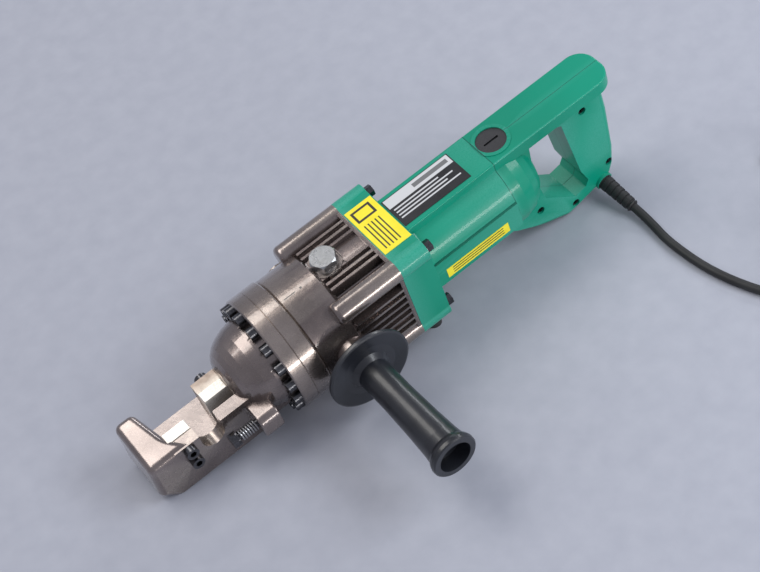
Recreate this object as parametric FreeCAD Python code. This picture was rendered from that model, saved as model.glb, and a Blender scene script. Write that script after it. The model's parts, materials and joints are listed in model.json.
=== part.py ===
import FreeCAD, Part
import math
import os

from FreeCAD import Placement, Rotation, Vector

os.makedirs("parts", exist_ok=True)

# Rebar cutter: a hand-held electric hydraulic cutter for reinforcing bar.
# Lengths are millimetres. The tool is drawn on its own axis: X runs from the cutting nose
# (negative) to the grip (positive), Y is across with the side handle on -Y, Z is up.
# At the end every piece is tipped nose-down and lifted, so that the tool rests on Z = 0.

# ---- rest pose on the floor -------------------------------------------------------------
TILT_DEG = 6.0
LIFT = 49.54
CENTRE_X = 93.7
CENTRE_Y = -58.5

# ---- cutting head -----------------------------------------------------------------------
HEAD_HALF = 25.5
NOSE_X = -126.0
NOSE_TOP = 11.5
NOSE_ROUND = 5.5
THROAT_FLOOR = -23.0
HEAD_BOTTOM = -37.3
BLOCK_LONG = 20.0
BLOCK_THICK = 9.4
BLOCK_TOP = 6.0
FIXED_X = -103.0
MOVING_X = -63.8
WALL_Y = -14.6
WALL_TOP = 5.2
SLOT_X0 = -82.8
SLOT_X1 = -63.6
SLOT_BOTTOM = -13.5
FLANGE_X0 = -7.3
FLANGE_X1 = 4.5
RING_X1 = 18.0
RING_R = 47.9
DOME_TIP_X = -43.4

# ---- hydraulics -------------------------------------------------------------------------
BORE_R = 23.0
LINER_R = 29.0
LINER_X0 = -24.0
LINER_X1 = 44.0
ROD_R = 15.0
ROD_FIT = 0.06
STROKE = 20.5
PISTON_X0 = 24.0
PISTON_X1 = 38.0
HEAD_BOLT_PCR = 41.5
HEAD_BOLT_COUNT = 16

# ---- pump and gears ---------------------------------------------------------------------
CASE_X1 = 97.4
CASE_BORE_R = 37.0
COLLAR_R = 46.6
COLLAR_X1 = 50.0
PUMP_Z = -17.0
PLUNGER_DEGS = (30, 90, 150)
GEAR_TEETH = 26
PINION_TEETH = 8
GEAR_MODULE = 1.0
CORNER_Y = 36.0
CORNER_Z = 34.0
CORNER_R = 9.0

# ---- motor and rear handle --------------------------------------------------------------
FLANGE_HALF_Y = 44.0
FLANGE_HALF_Z = 42.0
MOTOR_FLANGE_X1 = 123.0
FOOT_Y = 25.5
HOUSING_X1 = 203.0
HOUSING_R = 38.0
BAND_HALF = 38.4
TOP_Z = 40.3
TOP_HALF = 19.3
BRUSH_X = 216.0
GRIP_HALF = 16.0
HANDLE_X1 = 318.5

# ---- side handle ------------------------------------------------------------------------
SIDE_X = 41.0
GUARD_Y = -64.0
GRIP_END_Y = -167.0

# ---- stop bolt --------------------------------------------------------------------------
STOP_Y = -36.0
STOP_Z = -9.5
STOP_R = 3.0

# ---- grip frame and trigger, as outlines in X and Z -------------------------------------
FRAME_OUTLINE = [(206.0, -30.0), (206.0, 34.0), (303.0, 34.0), (308.0, 30.0), (308.6, 6.0), (306.6, -38.0),
                 (303.6, -55.0), (299.5, -63.0), (291.0, -68.0), (262.0, -74.6), (254.0, -75.7),
                 (245.0, -72.0), (227.0, -61.0), (208.0, -49.0), (197.0, -40.0), (203.2, -30.0)]
HOLE_OUTLINE = [(236.0, 27.5), (259.0, 27.0), (266.5, 23.0), (273.0, -38.0), (277.5, -52.0), (274.0, -57.5),
                (263.0, -59.5), (252.0, -50.0), (238.0, -37.0), (235.0, -20.0), (235.0, 10.0)]
SCREW_SPOTS = [(286.5, 22.0), (231.0, -46.4), (262.0, -67.0), (299.0, -50.0)]
PIVOT_X = 250.5
PIVOT_Z = 31.5

# ---- mains lead: its sleeve in the tool's frame, the lead itself in the floor's frame ---
GUARD_BASE = Vector(290.0, -8.0, -64.6)
GUARD_WAY = Vector(0.06, -0.96, -0.22).normalize()
GUARD_LENGTH = 40.0
CORD_R = 3.5
FLOOR_Z = CORD_R + 0.1
CORD_ROUTE = [(206.3, -4.2, FLOOR_Z), (202.2, -33.0, FLOOR_Z), (207.2, -82.0, FLOOR_Z),
              (227.8, -131.3, FLOOR_Z), (257.1, -165.5, FLOOR_Z)]
COIL_X = 296.2
COIL_Y = -132.0
COIL_OUTER_TURN_R = 51.5
COIL_TURNS = 6.42
COIL_LAYERS = 2
TAIL_DEG = 11.7
TAIL_LENGTH = 34.0
PLUG_HALF_THICK = 10.4


def cyl_x(radius, x0, x1, y=0.0, z=0.0):
    return Part.makeCylinder(radius, x1 - x0, Vector(x0, y, z), Vector(1, 0, 0))


def cyl_y(radius, y0, y1, x, z):
    return Part.makeCylinder(radius, y1 - y0, Vector(x, y0, z), Vector(0, 1, 0))


def cyl_z(radius, z0, z1, x, y):
    return Part.makeCylinder(radius, z1 - z0, Vector(x, y, z0), Vector(0, 0, 1))


def tube_x(outer, inner, x0, x1, y=0.0, z=0.0):
    return cyl_x(outer, x0, x1, y, z).cut(cyl_x(inner, x0 - 1, x1 + 1, y, z))


def block(x0, x1, y0, y1, z0, z1):
    return Part.makeBox(x1 - x0, y1 - y0, z1 - z0, Vector(x0, y0, z0))


def fuse(shapes):
    """One solid from shapes that touch or overlap."""
    return shapes[0].multiFuse(shapes[1:]).removeSplitter()


def polygon_face(points):
    return Part.Face(Part.makePolygon(points + [points[0]]))


def slab_xz(outline, y0, y1):
    """A plate with an outline in X and Z, between two Y planes."""
    return polygon_face([Vector(x, y0, z) for x, z in outline]).extrude(Vector(0, y1 - y0, 0))


def lathe_x(profile, y=0.0, z=0.0):
    """A solid turned about a line along X from an outline of (x, radius) points."""
    face = polygon_face([Vector(x, y, z + r) for x, r in profile])
    return face.revolve(Vector(0, y, z), Vector(1, 0, 0), 360)


def lathe_y(profile, x, z):
    """A solid turned about a line along Y from an outline of (y, radius) points."""
    face = polygon_face([Vector(x + r, y, z) for y, r in profile])
    return face.revolve(Vector(x, 0, z), Vector(0, 1, 0), 360)


def hexagon(across_flats, height, base, direction):
    """A hexagonal prism standing on base along direction."""
    radius = across_flats / math.sqrt(3)
    corners = [Vector(radius * math.cos(a * math.pi / 3), radius * math.sin(a * math.pi / 3), 0)
               for a in range(6)]
    prism = polygon_face(corners).extrude(Vector(0, 0, height))
    prism.Placement = Placement(base, Rotation(Vector(0, 0, 1), direction))
    return prism


def rounded_bar_x(half_y, half_z, radius, x0, x1):
    """A bar along X with a rounded rectangular section."""
    bar = block(x0, x1, -half_y, half_y, -half_z, half_z)
    edges = [e for e in bar.Edges if abs(e.Length - (x1 - x0)) < 0.01
             and abs(e.CenterOfMass.x - (x0 + x1) / 2) < 0.01 and abs(e.CenterOfMass.y) > half_y - 0.1
             and abs(e.CenterOfMass.z) > half_z - 0.1]
    return bar.makeFillet(radius, edges)


def rounded_plate(x0, x1, half_y, half_z, radius):
    """A bar along X with all four long edges rounded."""
    bar = block(x0, x1, -half_y, half_y, -half_z, half_z)
    return bar.makeFillet(radius, [e for e in bar.Edges if abs(e.CenterOfMass.x - (x0 + x1) / 2) < 0.01])


def round_edges(shape, radius, wanted):
    """Fillets the edges whose centre satisfies wanted(centre)."""
    return shape.makeFillet(radius, [e for e in shape.Edges if wanted(e.CenterOfMass)])


def cap_screw(shank_r, head_r, head_h, length, base, direction):
    """A socket cap screw: base is under the head, direction points from the head out."""
    socket = hexagon(head_r * 0.95, head_h * 0.55, base + direction * (head_h * 0.45), direction)
    head = Part.makeCylinder(head_r, head_h, base, direction).cut(socket)
    return head.fuse(Part.makeCylinder(shank_r, length, base, direction * -1)).removeSplitter()


def coil_spring(mean_r, wire_r, length, turns, base, direction):
    """A coil spring of eight-sided wire whose centre line runs length along direction from base."""
    path = Part.Wire(Part.makeHelix(length / turns, length, mean_r).Edges)
    corners = [Vector(mean_r + wire_r * math.cos(a * math.pi / 4), 0, wire_r * math.sin(a * math.pi / 4))
               for a in range(8)]
    spring = path.makePipeShell([Part.makePolygon(corners + [corners[0]])], True, True)
    spring.Placement = Placement(base, Rotation(Vector(0, 0, 1), direction))
    return spring


def around_x(count, radius, start_deg=0.0):
    """Points (y, z) spaced evenly on a circle about the X axis."""
    angles = [math.radians(start_deg + 360.0 * i / count) for i in range(count)]
    return [(radius * math.cos(a), radius * math.sin(a)) for a in angles]


BACK = Vector(1, 0, 0)
FRONT = Vector(-1, 0, 0)
NEAR = Vector(0, -1, 0)
FAR = Vector(0, 1, 0)
UP = Vector(0, 0, 1)


# ---- fasteners that other pieces are cut to fit --------------------------------------------

def make_head_bolts():
    bolts = [cap_screw(3.0, 4.9, 6.0, 33.0, Vector(FLANGE_X0, y, z), FRONT)
             for y, z in around_x(HEAD_BOLT_COUNT, HEAD_BOLT_PCR, 360.0 / HEAD_BOLT_COUNT / 2)]
    return Part.makeCompound(bolts)


def make_fixed_block_screws():
    centre_x = FIXED_X + BLOCK_LONG / 2
    screws = [cap_screw(3.0, 5.0, 5.5, 16.0, Vector(centre_x, -HEAD_HALF, z), NEAR)
              for z in (0.0, -13.0)]
    return Part.makeCompound(screws)


def make_moving_block_screws():
    centre_x = MOVING_X + BLOCK_LONG / 2
    screws = [cap_screw(3.0, 5.0, 5.5, 16.0, Vector(centre_x, 15.0, z), FAR)
              for z in (-1.0, -14.0)]
    return Part.makeCompound(screws)


def make_case_bolts():
    """Four long bolts with hexagon heads behind the motor flange."""
    bolts = []
    for y in (-CORNER_Y, CORNER_Y):
        for z in (-CORNER_Z, CORNER_Z):
            head = hexagon(8.0, 5.0, Vector(MOTOR_FLANGE_X1 + 1.2, y, z), BACK)
            washer = cyl_x(5.2, MOTOR_FLANGE_X1, MOTOR_FLANGE_X1 + 1.2, y, z)
            bolts.append(fuse([head, washer, cyl_x(2.5, 62.0, MOTOR_FLANGE_X1, y, z)]))
    return Part.makeCompound(bolts)


# ---- cutting head ---------------------------------------------------------------------------

def make_block(x0, y0):
    """One cutter block; the fixed and the moving block are the same part."""
    shape = block(x0, x0 + BLOCK_LONG, y0, y0 + BLOCK_THICK, THROAT_FLOOR + 0.4, BLOCK_TOP)
    return shape.makeChamfer(0.5, [e for e in shape.Edges if abs(e.Length - BLOCK_THICK) < 0.01])


def beyond(point, normal):
    """A large block on the far side of a plane."""
    slab = Part.makeBox(400, 400, 400, Vector(-200, -200, 0))
    slab.Placement = Placement(point, Rotation(Vector(0, 0, 1), normal))
    return slab


def head_body():
    """Nose, floor and near wall of the C-shaped head. The nose curves down into the near wall."""
    outline = [(NOSE_X + 0.5, 15.0), (FLANGE_X0, 15.0), (FLANGE_X0, HEAD_BOTTOM), (-119.0, HEAD_BOTTOM),
               (NOSE_X - 2.0, -28.0)]
    throat = beyond(Vector(-110.0, HEAD_HALF, NOSE_TOP), Vector(0.969, 0.180, 0.208))
    throat = throat.common(beyond(Vector(-103.0, -10.0, NOSE_TOP), Vector(0.766, 0.620, 0.168)))
    throat = throat.common(block(-150.0, 10.0, -60.0, 60.0, THROAT_FLOOR, 40.0))
    throat = round_edges(throat, 22.0, lambda c: c.x < -90 and -20 < c.y < 0 and THROAT_FLOOR < c.z < 39)
    body = slab_xz(outline, -HEAD_HALF, HEAD_HALF).cut(throat)
    body = body.cut(beyond(Vector(NOSE_X, HEAD_HALF, NOSE_TOP), Vector(0, -0.1, 1)))
    body = round_edges(body, NOSE_ROUND, lambda c: c.x < -103 and c.z > -34)
    wall = block(-104.0, -20.0, -HEAD_HALF, WALL_Y, THROAT_FLOOR - 1.0, WALL_TOP)
    slot_mid = (SLOT_X0 + SLOT_X1) / 2
    slot_r = (SLOT_X1 - SLOT_X0) / 2
    slot = fuse([block(SLOT_X0, SLOT_X1, -HEAD_HALF - 1, WALL_Y + 1, SLOT_BOTTOM + slot_r, 30.0),
                 cyl_y(slot_r, -HEAD_HALF - 1, WALL_Y + 1, slot_mid, SLOT_BOTTOM + slot_r)])
    return body.fuse(wall.cut(slot))


def dome_and_flange():
    """The dome that guides the ram, and the round flange that the cylinder bolts to."""
    profile = [(FLANGE_X0, 0.0), (DOME_TIP_X, 0.0), (DOME_TIP_X, 16.6), (-42.2, 20.4), (-39.5, 24.6),
               (-35.5, 28.4), (-30.0, 31.6), (-23.0, 34.3), (-15.0, 36.0), (FLANGE_X0, 36.6)]
    flange = lathe_x([(FLANGE_X0, 0.0), (FLANGE_X0, RING_R - 1.0), (FLANGE_X0 + 1.0, RING_R),
                      (FLANGE_X1 - 0.4, RING_R), (FLANGE_X1, RING_R - 0.4), (FLANGE_X1, 0.0)])
    return lathe_x(profile).fuse(flange)


def stop_lug():
    """Ear on the near side that carries the stop bolt."""
    lug = block(-43.5, -27.0, -46.5, -20.0, -21.5, 0.8)
    lug = round_edges(lug, 7.0, lambda c: c.y < -46.4 and abs(c.x + 35.25) < 0.1)
    return round_edges(lug, 1.5, lambda c: abs(c.x + 35.25) > 8.0 and c.y < -21.0)


def make_head(bolts, fixed_screws):
    head = fuse([head_body(), dome_and_flange(), stop_lug()])
    pocket = block(FIXED_X, FIXED_X + BLOCK_LONG, WALL_Y, WALL_Y + BLOCK_THICK + 0.1,
                   THROAT_FLOOR + 0.4, 30.0)
    bore = cyl_x(LINER_R, LINER_X0, FLANGE_X1 + 1)
    spring_room = cyl_x(BORE_R, LINER_X0 - 2.0, LINER_X0 + 1)
    guide = cyl_x(ROD_R + ROD_FIT, DOME_TIP_X - STROKE - 2, LINER_X0)
    wiper_groove = cyl_x(18.5, -40.0, -36.0)
    head = head.cut(fuse([bore, spring_room, guide, wiper_groove])).cut(pocket)
    tool_ways = [cyl_x(5.6, -30.0, FLANGE_X0, y, z)
                 for y, z in around_x(HEAD_BOLT_COUNT, HEAD_BOLT_PCR, 360.0 / HEAD_BOLT_COUNT / 2)]
    head = head.cut(Part.makeCompound(tool_ways))
    head = head.cut(cyl_x(STOP_R + ROD_FIT, -60.0, -29.5, STOP_Y, STOP_Z))
    return head.cut(bolts).cut(fixed_screws)


def make_stop_bolt():
    """Hexagon-headed set bolt that props the bar from behind."""
    head = hexagon(10.0, 5.0, Vector(-66.5, STOP_Y, STOP_Z), BACK)
    washer = cyl_x(5.8, -61.5, -60.3, STOP_Y, STOP_Z)
    return fuse([head, washer, cyl_x(STOP_R, -61.0, -30.5, STOP_Y, STOP_Z)])


# ---- hydraulics -----------------------------------------------------------------------------

def make_cylinder(bolts):
    liner = tube_x(LINER_R, BORE_R, LINER_X0, LINER_X1)
    ring = lathe_x([(FLANGE_X1, 25.0), (FLANGE_X1, RING_R - 0.4), (FLANGE_X1 + 0.4, RING_R),
                    (RING_X1 - 1.2, RING_R), (RING_X1, RING_R - 1.2), (RING_X1, 25.0)])
    return fuse([liner, ring]).cut(bolts)


def make_ram(screws):
    """Piston, rod and the milled tongue that carries the moving block."""
    piston = cyl_x(BORE_R - ROD_FIT, PISTON_X0, PISTON_X1)
    groove = tube_x(BORE_R + 1, 19.5, 29.0, 33.0)
    rod = cyl_x(ROD_R, MOVING_X + BLOCK_LONG, PISTON_X1)
    tongue = block(MOVING_X, MOVING_X + BLOCK_LONG, 4.4, 15.0, THROAT_FLOOR + 0.4, BLOCK_TOP)
    return fuse([piston, rod, tongue]).cut(groove).cut(screws)


def make_piston_seal():
    return tube_x(BORE_R - ROD_FIT, 19.5, 29.0, 33.0)


def make_rod_wiper():
    return tube_x(18.5, ROD_R + ROD_FIT, -40.0, -36.0)


def make_return_spring():
    wire_r = 1.4
    start = LINER_X0 - 2.0 + wire_r
    return coil_spring(19.0, wire_r, PISTON_X0 - wire_r - 0.3 - start, 8, Vector(start, 0, 0), BACK)


# ---- pump case and what is in it ---------------------------------------------------------------

def case_fins():
    """Cooling fins along X on the four sides between the corner bosses."""
    fins = []
    for offset in (-22.0, -16.0, -10.0, 10.0, 16.0, 22.0):
        fins.append(block(COLLAR_X1 + 2, CASE_X1 - 3, offset - 1.1, offset + 1.1, 30.0, 43.2))
        fins.append(block(COLLAR_X1 + 2, CASE_X1 - 3, offset - 1.1, offset + 1.1, -43.2, -30.0))
    for offset in (-21.0, -14.0, -7.0, 0.0, 7.0, 14.0, 21.0):
        fins.append(block(COLLAR_X1 + 2, CASE_X1 - 3, 30.0, 45.0, offset - 1.1, offset + 1.1))
        fins.append(block(COLLAR_X1 + 2, CASE_X1 - 3, -45.0, -30.0, offset - 1.1, offset + 1.1))
    return fins


def make_pump_case(head_bolts, case_bolts, plug, side_stud):
    collar = lathe_x([(RING_X1, 0.0), (RING_X1, COLLAR_R - 1.5), (RING_X1 + 1.5, COLLAR_R),
                      (COLLAR_X1, COLLAR_R), (COLLAR_X1 + 3, COLLAR_R - 3), (COLLAR_X1 + 3, 0.0)])
    core = cyl_x(40.5, COLLAR_X1, CASE_X1)
    rear_rim = rounded_bar_x(43.5, 41.5, 11.0, CASE_X1 - 3, CASE_X1)
    bosses = [round_edges(cyl_x(CORNER_R, COLLAR_X1 - 8, CASE_X1, y, z), 4.0, lambda c: c.x < COLLAR_X1)
              for y in (-CORNER_Y, CORNER_Y) for z in (-CORNER_Z, CORNER_Z)]
    plug_boss = cyl_z(13.0, 30.0, 44.0, 62.5, 0.0)
    side_boss = cyl_y(14.0, -50.0, -30.0, SIDE_X, 0.0)
    far_boss = cyl_y(14.0, 30.0, 50.0, SIDE_X, 0.0)
    case = fuse([collar, core, rear_rim, plug_boss, side_boss, far_boss] + bosses + case_fins())
    case = case.cut(cyl_x(CASE_BORE_R, RING_X1 - 1, CASE_X1 + 1))
    for tool in (head_bolts, case_bolts, plug, side_stud):
        case = case.cut(tool)
    return case.cut(cyl_y(5.0, 36.0, 51.0, SIDE_X, 0.0))


def make_fill_plug():
    """Zinc-plated hexagon plug in the oil filler on top of the case."""
    head = hexagon(19.0, 6.5, Vector(62.5, 0, 45.5), UP)
    crown = cyl_z(11.2, 45.5, 52.0, 62.5, 0.0)
    crown = crown.makeChamfer(1.6, [e for e in crown.Edges if e.CenterOfMass.z > 51.9])
    return fuse([head.common(crown), cyl_z(6.0, 36.0, 45.5, 62.5, 0.0)])


def make_plug_washer():
    return cyl_z(9.5, 44.0, 45.5, 62.5, 0.0).cut(cyl_z(6.0, 43.0, 46.0, 62.5, 0.0))


def make_oil_bladder():
    return tube_x(CASE_BORE_R - 1.0, LINER_R + 1.0, RING_X1 + 2, LINER_X1)


def make_pump_block():
    body = cyl_x(CASE_BORE_R, LINER_X1 + 2, 72.0)
    shaft_room = cyl_x(14.0, 55.0, 73.0, 0.0, PUMP_Z)
    bearing_seat = cyl_x(8.0, 49.5, 56.0, 0.0, PUMP_Z)
    body = body.cut(fuse([shaft_room, bearing_seat]))
    bores = []
    for angle in PLUNGER_DEGS:
        out = Vector(0, math.cos(math.radians(angle)), math.sin(math.radians(angle)))
        bores.append(Part.makeCylinder(4.05, 15.2, Vector(60.0, 0, PUMP_Z) + out * 13.0, out))
    passage = cyl_x(3.0, LINER_X1, 52.0, 0.0, 12.0)
    inlet = cyl_z(6.5, 30.0, 40.0, 62.5, 0.0)
    return body.cut(Part.makeCompound(bores)).cut(passage).cut(inlet)


def make_plungers():
    """Three radial pump plungers, drawn at the outer end of their stroke."""
    plungers = []
    for angle in PLUNGER_DEGS:
        out = Vector(0, math.cos(math.radians(angle)), math.sin(math.radians(angle)))
        plungers.append(Part.makeCylinder(4.0, 8.0, Vector(60.0, 0, PUMP_Z) + out * 14.0, out))
    return Part.makeCompound(plungers)


def make_plunger_springs():
    springs = []
    for angle in PLUNGER_DEGS:
        out = Vector(0, math.cos(math.radians(angle)), math.sin(math.radians(angle)))
        springs.append(coil_spring(2.9, 0.5, 4.8, 4, Vector(60.0, 0, PUMP_Z) + out * 22.6, out))
    return Part.makeCompound(springs)


def involute_gear(teeth, tip_r, root_r, slack, x0, x1, z):
    """A spur gear about a line along X. slack is taken off each flank at the pitch line."""
    pitch_r = GEAR_MODULE * teeth / 2
    base_r = pitch_r * math.cos(math.radians(20.0))
    spread = math.tan(math.radians(20.0)) - math.radians(20.0)
    half_pitch = math.pi / 2 / teeth - slack / pitch_r
    radii = [max(root_r, base_r) + (tip_r - max(root_r, base_r)) * i / 4 for i in range(5)]
    flank = []
    for radius in radii:
        angle = math.acos(min(1.0, base_r / radius))
        flank.append((radius, half_pitch + spread - (math.tan(angle) - angle)))
    points = []
    for tooth in range(teeth):
        middle = 2 * math.pi * tooth / teeth
        points.append((root_r, middle - flank[0][1]))
        points += [(r, middle - a) for r, a in flank if r > root_r]
        points += [(r, middle + a) for r, a in reversed(flank) if r > root_r]
        points.append((root_r, middle + flank[0][1]))
    corners = [Vector(x0, r * math.sin(a), z + r * math.cos(a)) for r, a in points]
    return polygon_face(corners).extrude(Vector(x1 - x0, 0, 0))


def make_pump_shaft():
    """Shaft with the eccentric that drives the plungers."""
    shaft = cyl_x(3.95, 49.5, 95.0, 0.0, PUMP_Z)
    eccentric = cyl_x(9.0, 56.5, 64.0, 0.0, PUMP_Z + 1.5)
    collar = cyl_x(6.5, 72.5, 76.0, 0.0, PUMP_Z)
    return fuse([shaft, eccentric, collar])


def make_eccentric_bearing():
    return tube_x(12.0, 9.0, 56.5, 64.0, 0.0, PUMP_Z + 1.5)


def make_drive_gear():
    gear = involute_gear(GEAR_TEETH, 13.7, 11.6, 0.12, 76.0, 84.0, PUMP_Z)
    return gear.cut(cyl_x(3.95, 75.0, 85.0, 0.0, PUMP_Z))


def make_pump_bearings():
    return Part.makeCompound([tube_x(8.0, 4.0, 49.5, 54.5, 0.0, PUMP_Z),
                              tube_x(8.0, 4.0, 89.0, 94.0, 0.0, PUMP_Z)])


def make_gear_plate():
    plate = cyl_x(CASE_BORE_R, 87.0, CASE_X1)
    plate = plate.cut(cyl_x(8.0, 89.0, 98.0, 0.0, PUMP_Z)).cut(cyl_x(4.5, 86.0, 90.0, 0.0, PUMP_Z))
    seat = cyl_x(8.8, 90.0, 98.0, 0.0, 0.0)
    return plate.cut(seat).cut(cyl_x(5.6, 86.0, 91.0, 0.0, 0.0))


# ---- motor ------------------------------------------------------------------------------------

def make_armature_shaft():
    """Motor shaft with the pinion cut in its front end."""
    pinion = involute_gear(PINION_TEETH, 5.0, 2.75, 0.12, 75.5, 84.5, 0.0)
    turn = 180.0 / PINION_TEETH
    pinion.rotate(Vector(0, 0, 0), Vector(1, 0, 0), turn + 180.0)
    return fuse([pinion, cyl_x(3.95, 84.5, 98.0), cyl_x(5.0, 98.0, 229.0), cyl_x(3.95, 229.0, 234.5)])


def make_armature_core():
    """Laminated core with straight winding slots."""
    core = tube_x(20.5, 5.0, 132.0, 176.0)
    slots = [cyl_x(2.1, 131.0, 177.0, y, z) for y, z in around_x(16, 16.6)]
    mouths = []
    for i in range(16):
        mouth = block(131.0, 177.0, 16.0, 22.0, -0.7, 0.7)
        mouth.rotate(Vector(0, 0, 0), Vector(1, 0, 0), 22.5 * i)
        mouths.append(mouth)
    return core.cut(Part.makeCompound(slots + mouths))


def make_armature_windings():
    """Copper end turns at each end of the core."""
    front = lathe_x([(125.0, 5.0), (125.0, 12.0), (127.5, 17.0), (132.0, 18.0), (132.0, 5.0)])
    back = lathe_x([(176.0, 5.0), (176.0, 18.0), (181.0, 17.0), (186.0, 11.0), (186.0, 5.0)])
    return Part.makeCompound([front, back])


def make_commutator():
    drum = tube_x(13.0, 5.0, 207.0, 226.0)
    gaps = []
    for i in range(24):
        gap = block(206.0, 227.0, 11.8, 14.0, -0.25, 0.25)
        gap.rotate(Vector(0, 0, 0), Vector(1, 0, 0), 15.0 * i)
        gaps.append(gap)
    return drum.cut(Part.makeCompound(gaps))


def make_fan():
    hub = tube_x(9.0, 5.0, 103.0, 118.0)
    plate = tube_x(31.0, 8.0, 116.0, 118.0)
    blades = []
    for i in range(12):
        blade = block(104.0, 116.5, 8.0, 30.5, -0.9, 0.9)
        blade.rotate(Vector(0, 8, 0), Vector(1, 0, 0), 18.0)
        blade.rotate(Vector(0, 0, 0), Vector(1, 0, 0), 30.0 * i)
        blades.append(blade)
    return fuse([hub, plate] + blades)


def make_motor_bearings():
    return Part.makeCompound([tube_x(8.8, 4.0, 90.0, 97.0), tube_x(9.0, 4.0, 229.3, 234.3)])


def make_stator_core():
    """Two-pole laminated field core."""
    ring = tube_x(34.0, 28.0, 130.0, 178.0)
    poles = cyl_x(29.0, 130.0, 178.0).common(
        fuse([block(130.0, 178.0, -30.0, -14.0, -16.0, 16.0), block(130.0, 178.0, 14.0, 30.0, -16.0, 16.0)]))
    return fuse([ring, poles]).cut(cyl_x(21.1, 129.0, 179.0))


def make_field_coils():
    """Two coils, one round each pole."""
    coils = []
    for side in (-1, 1):
        outer = block(124.5, 183.5, 0.0, 5.0, -23.0, 23.0)
        inner = block(129.8, 178.2, -1.0, 6.0, -16.2, 16.2)
        coil = outer.cut(inner)
        if side < 0:
            coil.translate(Vector(0, -27.0, 0))
        else:
            coil.translate(Vector(0, 22.0, 0))
        coils.append(coil.common(cyl_x(27.8, 124.0, 184.0)).cut(cyl_x(21.3, 124.0, 184.0)))
    return Part.makeCompound(coils)


def housing_outer():
    flange = rounded_bar_x(FLANGE_HALF_Y, FLANGE_HALF_Z, 12.0, CASE_X1, MOTOR_FLANGE_X1)
    pads = [cyl_x(CORNER_R, CASE_X1, MOTOR_FLANGE_X1, y, z)
            for y in (-CORNER_Y, CORNER_Y) for z in (-CORNER_Z, CORNER_Z)]
    neck = lathe_x([(118.0, 0.0), (118.0, 41.0), (127.0, HOUSING_R), (HOUSING_X1, HOUSING_R),
                    (HOUSING_X1, 0.0)])
    ridge = block(118.0, HOUSING_X1, -TOP_HALF, TOP_HALF, 0.0, TOP_Z)
    ridge = round_edges(ridge, 1.2, lambda c: c.z > TOP_Z - 0.1 and abs(c.y) > TOP_HALF - 0.1)
    side_band = block(125.0, HOUSING_X1, -BAND_HALF, BAND_HALF, -14.0, 11.0)
    return fuse([flange, neck, ridge, side_band] + pads)


def make_motor_housing(case_bolts):
    hollow = fuse([cyl_x(34.0, CASE_X1 - 1, HOUSING_X1 + 1),
                   block(CASE_X1 - 1, 119.0, -36.0, 36.0, -24.0, 24.0)])
    shell = housing_outer().cut(hollow)
    feet_sockets = [cyl_z(4.0, -60.0, -38.2, 113.5, y) for y in (-FOOT_Y, FOOT_Y)]
    shell = shell.cut(case_bolts)
    return shell.cut(Part.makeCompound(feet_sockets))


def make_rubber_feet():
    """Two feet under the motor flange, cut level with the floor."""
    feet = []
    for y in (-FOOT_Y, FOOT_Y):
        pad = cyl_z(6.2, -70.0, -FLANGE_HALF_Z - 0.02, 113.5, y)
        stem = cyl_z(4.0, -FLANGE_HALF_Z - 1, -38.2, 113.5, y)
        feet.append(pad.fuse(stem).removeSplitter())
    below_floor = block(0.0, 300.0, -100.0, 100.0, -200.0, 0.0)
    below_floor.Placement = tool_from_floor()
    return Part.makeCompound([foot.cut(below_floor) for foot in feet])


# ---- rear handle --------------------------------------------------------------------------------


def motor_end_cap():
    """Rounded rear end of the motor, which the brush gear sits in."""
    return lathe_x([(HOUSING_X1, 0.0), (HOUSING_X1, 37.6), (212.0, 37.4), (221.0, 35.0), (228.0, 30.5),
                    (233.0, 24.5), (236.0, 17.0), (236.5, 0.0)])


def top_slab():
    """Flat top of the handle, round at the rear end."""
    plate = block(HOUSING_X1, HANDLE_X1, -TOP_HALF, TOP_HALF, 29.5, TOP_Z)
    plate = round_edges(plate, 15.0, lambda c: c.x > HANDLE_X1 - 0.1 and abs(c.y) > TOP_HALF - 0.1)
    return round_edges(plate, 1.2, lambda c: c.z > TOP_Z - 0.1 and c.x > HOUSING_X1 + 1)


def handle_outer():
    frame = slab_xz(FRAME_OUTLINE, -GRIP_HALF, GRIP_HALF)
    frame = round_edges(frame, 5.0, lambda c: abs(abs(c.y) - GRIP_HALF) < 0.01 and c.x > 240.0
                        and c.z < 32.0)
    frame = frame.cut(slab_xz(HOLE_OUTLINE, -GRIP_HALF - 1, GRIP_HALF + 1))
    cap = motor_end_cap().cut(block(190.0, 260.0, -60.0, 60.0, TOP_Z, 90.0))
    brush_ring = cyl_z(15.0, 30.0, TOP_Z + 0.7, BRUSH_X, 0.0)
    outlet = Part.makeCylinder(7.6, 9.0, GUARD_BASE, GUARD_WAY)
    return fuse([frame, top_slab(), cap, brush_ring, outlet])


def handle_hollows():
    """Space inside for the brush gear, the switch and the wiring."""
    grip = slab_xz([(271.5, 26.0), (304.0, 26.0), (304.5, 5.0), (302.0, -40.0), (298.0, -56.0),
                    (289.0, -62.0), (281.5, -62.0), (282.0, -50.0), (278.0, -38.0)], -12.5, 12.5)
    beam = block(239.0, 304.0, -12.5, 12.5, 31.0, 36.5)
    corner = block(271.5, 304.0, -12.5, 12.5, 20.0, 32.0)
    plunger_way = cyl_x(2.8, 266.0, 280.0, 0.0, 10.0)
    cap = lathe_x([(HOUSING_X1 - 1, 0.0), (HOUSING_X1 - 1, 34.0), (212.0, 34.0), (219.0, 32.0),
                   (225.0, 28.0), (228.0, 22.0), (228.6, 9.0), (228.6, 0.0)])
    bearing = cyl_x(9.0, 228.0, 234.6)
    trigger_slot = block(245.5, 272.0, -6.6, 6.6, 12.0, 36.0)
    return fuse([grip, beam, corner, plunger_way]), fuse([cap, bearing]), trigger_slot


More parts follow.
